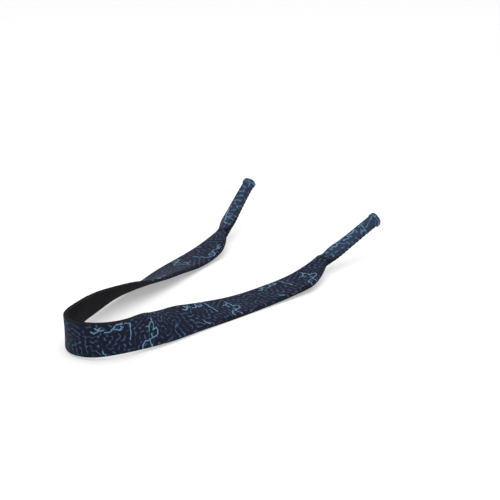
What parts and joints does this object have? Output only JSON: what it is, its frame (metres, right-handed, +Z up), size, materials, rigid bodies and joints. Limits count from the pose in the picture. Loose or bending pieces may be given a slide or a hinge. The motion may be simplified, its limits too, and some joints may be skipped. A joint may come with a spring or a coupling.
{
  "type": "eyewear retainer strap",
  "caption": "Printed neoprene eyewear retainer strap: a flat fabric-faced foam band whose ends fold into sleeves that grip the tips of spectacle temples.",
  "frame": {"origin": "on the surface the strap lies on, under the middle of its bounding box", "axes": "+X to the wearer's right sleeve's side, +Y from the neck turn towards the sleeves' mouths, +Z up"},
  "size_m": [0.1543, 0.2843, 0.0416],
  "materials": {
    "printed_jersey": "matt printed polyester jersey, navy with blue and teal strokes",
    "foam_core": "matt black closed-cell foam",
    "lining_jersey": "matt charcoal jersey",
    "seam_thread": "navy overlock thread"
  },
  "bodies": {
    "left_band": {"left_band_printed_face": "printed_jersey", "left_band_foam": "foam_core", "left_band_lining": "lining_jersey"},
    "left_sleeve": {"left_sleeve_printed_face": "printed_jersey", "left_sleeve_foam": "foam_core", "left_sleeve_lining": "lining_jersey", "left_sleeve_seam_thread": "seam_thread", "left_mouth_hem": "printed_jersey", "left_notch_bar_tack": "seam_thread"},
    "right_band": {"right_band_printed_face": "printed_jersey", "right_band_foam": "foam_core", "right_band_lining": "lining_jersey"},
    "right_sleeve": {"right_sleeve_printed_face": "printed_jersey", "right_sleeve_foam": "foam_core", "right_sleeve_lining": "lining_jersey", "right_sleeve_seam_thread": "seam_thread", "right_mouth_hem": "printed_jersey", "right_notch_bar_tack": "seam_thread"}
  },
  "joints": [
    {"name": "neck_loop_flex", "type": "hinge", "parent": "left_band", "child": "right_band", "pos_m": [0.04731, -0.13879, 0.01385], "axis": [-0.0399, -0.1263, 0.9912], "range_deg": [-25, 12], "stiffness_Nm_per_rad": 0.05},
    {"name": "right_sleeve_flex", "type": "hinge", "parent": "right_band", "child": "right_sleeve", "pos_m": [0.05884, 0.07096, 0.00887], "axis": [-0.998, -0.0596, -0.0201], "range_deg": [-30, 18], "stiffness_Nm_per_rad": 0.05},
    {"name": "left_sleeve_flex", "type": "hinge", "parent": "left_band", "child": "left_sleeve", "pos_m": [-0.04136, 0.06377, 0.0096], "axis": [-0.947, -0.1703, -0.2725], "range_deg": [-30, 24], "stiffness_Nm_per_rad": 0.05}
  ]
}
